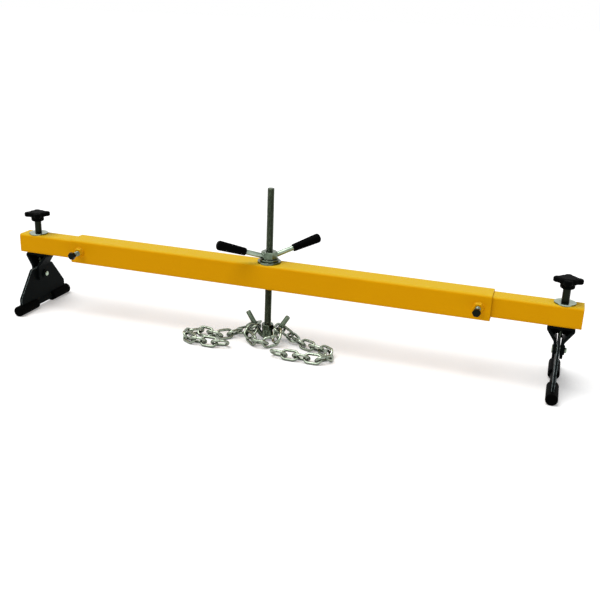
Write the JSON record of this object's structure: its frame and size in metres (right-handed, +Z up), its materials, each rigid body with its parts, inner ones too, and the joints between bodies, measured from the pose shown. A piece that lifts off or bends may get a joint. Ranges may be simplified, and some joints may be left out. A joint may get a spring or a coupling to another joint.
{
  "type": "engine support bar",
  "caption": "Telescoping square-tube engine support bar on clamped swivel feet, with a threaded lift screw, handled nut, double hook and slack chain.",
  "frame": {"origin": "on the floor, midway between the two arm ends and between the front and rear pads", "axes": "+X along the beam to the right, +Y to the rear, +Z up; the lift screw stands at X = -15.25 mm"},
  "size_m": [1.156, 0.18, 0.312],
  "materials": {
    "yellow_paint": "gloss paint",
    "black_paint": "satin paint",
    "zinc": "bright zinc plate",
    "screw_steel": "oiled threaded steel",
    "chain_zinc": "bright zinc plate",
    "black_plastic": "fine satin",
    "rubber": "matte"
  },
  "bodies": {
    "beam": {"beam_tube": "yellow_paint", "left_lock_nut": "yellow_paint", "right_lock_nut": "yellow_paint", "thrust_washer": "zinc"},
    "lift_nut": {"lift_nut": "zinc", "left_handle_rod": "zinc", "right_handle_rod": "zinc", "left_grip": "black_plastic", "right_grip": "black_plastic"},
    "lift_screw": {"lift_screw": "screw_steel", "double_hook": "zinc", "jam_nut": "zinc", "left_prong_link": "chain_zinc", "right_prong_link": "chain_zinc", "bight_link_1": "chain_zinc", "bight_link_2": "chain_zinc", "bight_link_3": "chain_zinc", "bight_link_4": "chain_zinc", "bight_link_5": "chain_zinc", "left_chain_lead": "chain_zinc", "right_chain_lead": "chain_zinc"},
    "left_arm": {"left_arm": "yellow_paint"},
    "left_lock_bolt": {"left_lock_bolt": "screw_steel"},
    "left_clamp": {"left_clamp_sleeve": "screw_steel", "left_clamp_washer": "zinc"},
    "left_knob": {"left_knob": "black_plastic", "left_clamp_stud": "zinc"},
    "left_bracket": {"left_bracket": "black_paint", "left_bracket_nut": "black_paint", "left_pivot_pin": "zinc", "left_pin_ring": "black_paint", "left_pivot_spacers": "zinc"},
    "left_foot": {"left_foot_plate": "black_paint", "left_foot_bar": "black_paint", "left_front_pad": "rubber", "left_rear_pad": "rubber"},
    "left_chain_back": {"left_chain_back_run": "chain_zinc"},
    "left_chain_front": {"left_chain_front_run": "chain_zinc", "left_chain_end_link": "chain_zinc"},
    "right_arm": {"right_arm": "yellow_paint"},
    "right_lock_bolt": {"right_lock_bolt": "screw_steel"},
    "right_clamp": {"right_clamp_sleeve": "screw_steel", "right_clamp_washer": "zinc"},
    "right_knob": {"right_knob": "black_plastic", "right_clamp_stud": "zinc"},
    "right_bracket": {"right_bracket": "black_paint", "right_bracket_nut": "black_paint", "right_pivot_pin": "zinc", "right_pin_ring": "black_paint", "right_pivot_spacers": "zinc"},
    "right_foot": {"right_foot_plate": "black_paint", "right_foot_bar": "black_paint", "right_front_pad": "rubber", "right_rear_pad": "rubber"},
    "right_chain_back": {"right_chain_back_run": "chain_zinc"},
    "right_chain_front": {"right_chain_front_run": "chain_zinc", "right_chain_end_link": "chain_zinc"}
  },
  "joints": [
    {"name": "lift_nut_turn", "type": "hinge", "parent": "beam", "child": "lift_nut", "pos_m": [-0.01525, 0, 0.18], "axis": [0, 0, 1], "range_deg": [-9000, 20700]},
    {"name": "lift_screw_slide", "type": "slide", "parent": "beam", "child": "lift_screw", "axis": [0, 0, 1], "range_m": [-0.1151, 0.0501]},
    {"name": "left_arm_slide", "type": "slide", "parent": "beam", "child": "left_arm", "axis": [-1, 0, 0], "range_m": [-0.065, 0.15]},
    {"name": "left_lock_turn", "type": "hinge", "parent": "beam", "child": "left_lock_bolt", "pos_m": [-0.42825, -0.04, 0.139], "axis": [0, -1, 0], "range_deg": [0, 360]},
    {"name": "left_foot_swivel", "type": "hinge", "parent": "left_arm", "child": "left_bracket", "pos_m": [-0.54445, 0, 0.1208], "axis": [0, 0, 1], "continuous": true},
    {"name": "left_foot_rock", "type": "hinge", "parent": "left_bracket", "child": "left_foot", "pos_m": [-0.54445, 0, 0.072], "axis": [1, 0, 0], "range_deg": [-25, 25]},
    {"name": "left_knob_turn", "type": "hinge", "parent": "left_arm", "child": "left_clamp", "pos_m": [-0.54445, 0, 0.175], "axis": [0, 0, 1], "range_deg": [0, 5760]},
    {"name": "left_knob_rise", "type": "slide", "parent": "left_clamp", "child": "left_knob", "axis": [0, 0, 1], "range_m": [0, 0.0201]},
    {"name": "left_chain_swing", "type": "hinge", "parent": "lift_screw", "child": "left_chain_back", "pos_m": [-0.08872, -0.0205, 0.00934], "axis": [-0.7044, 0.7098, 0], "range_deg": [0, 45]},
    {"name": "left_chain_fold", "type": "hinge", "parent": "left_chain_back", "child": "left_chain_front", "pos_m": [-0.16288, -0.06712, 0.00934], "axis": [0, 0, -1], "range_deg": [0, 80]},
    {"name": "right_arm_slide", "type": "slide", "parent": "beam", "child": "right_arm", "axis": [1, 0, 0], "range_m": [-0.095, 0.12]},
    {"name": "right_lock_turn", "type": "hinge", "parent": "beam", "child": "right_lock_bolt", "pos_m": [0.39775, -0.04, 0.139], "axis": [0, -1, 0], "range_deg": [0, 360]},
    {"name": "right_foot_swivel", "type": "hinge", "parent": "right_arm", "child": "right_bracket", "pos_m": [0.54445, 0, 0.1208], "axis": [0, 0, 1], "continuous": true},
    {"name": "right_foot_rock", "type": "hinge", "parent": "right_bracket", "child": "right_foot", "pos_m": [0.54445, 0, 0.072], "axis": [1, 0, 0], "range_deg": [-25, 25]},
    {"name": "right_knob_turn", "type": "hinge", "parent": "right_arm", "child": "right_clamp", "pos_m": [0.54445, 0, 0.175], "axis": [0, 0, 1], "range_deg": [0, 5760]},
    {"name": "right_knob_rise", "type": "slide", "parent": "right_clamp", "child": "right_knob", "axis": [0, 0, 1], "range_m": [0, 0.0201]},
    {"name": "right_chain_swing", "type": "hinge", "parent": "lift_screw", "child": "right_chain_back", "pos_m": [0.06498, -0.01361, 0.00934], "axis": [-0.3631, -0.9318, 0], "range_deg": [0, 45]},
    {"name": "right_chain_fold", "type": "hinge", "parent": "right_chain_back", "child": "right_chain_front", "pos_m": [0.11728, -0.07765, 0.00934], "axis": [0, 0, 1], "range_deg": [0, 80]}
  ],
  "couplings": [
    {"joint": "lift_screw_slide", "follows": "lift_nut_turn", "m_per_rad": -0.00031831},
    {"joint": "left_knob_rise", "follows": "left_knob_turn", "m_per_rad": 0.00019894},
    {"joint": "right_knob_rise", "follows": "right_knob_turn", "m_per_rad": 0.00019894}
  ]
}
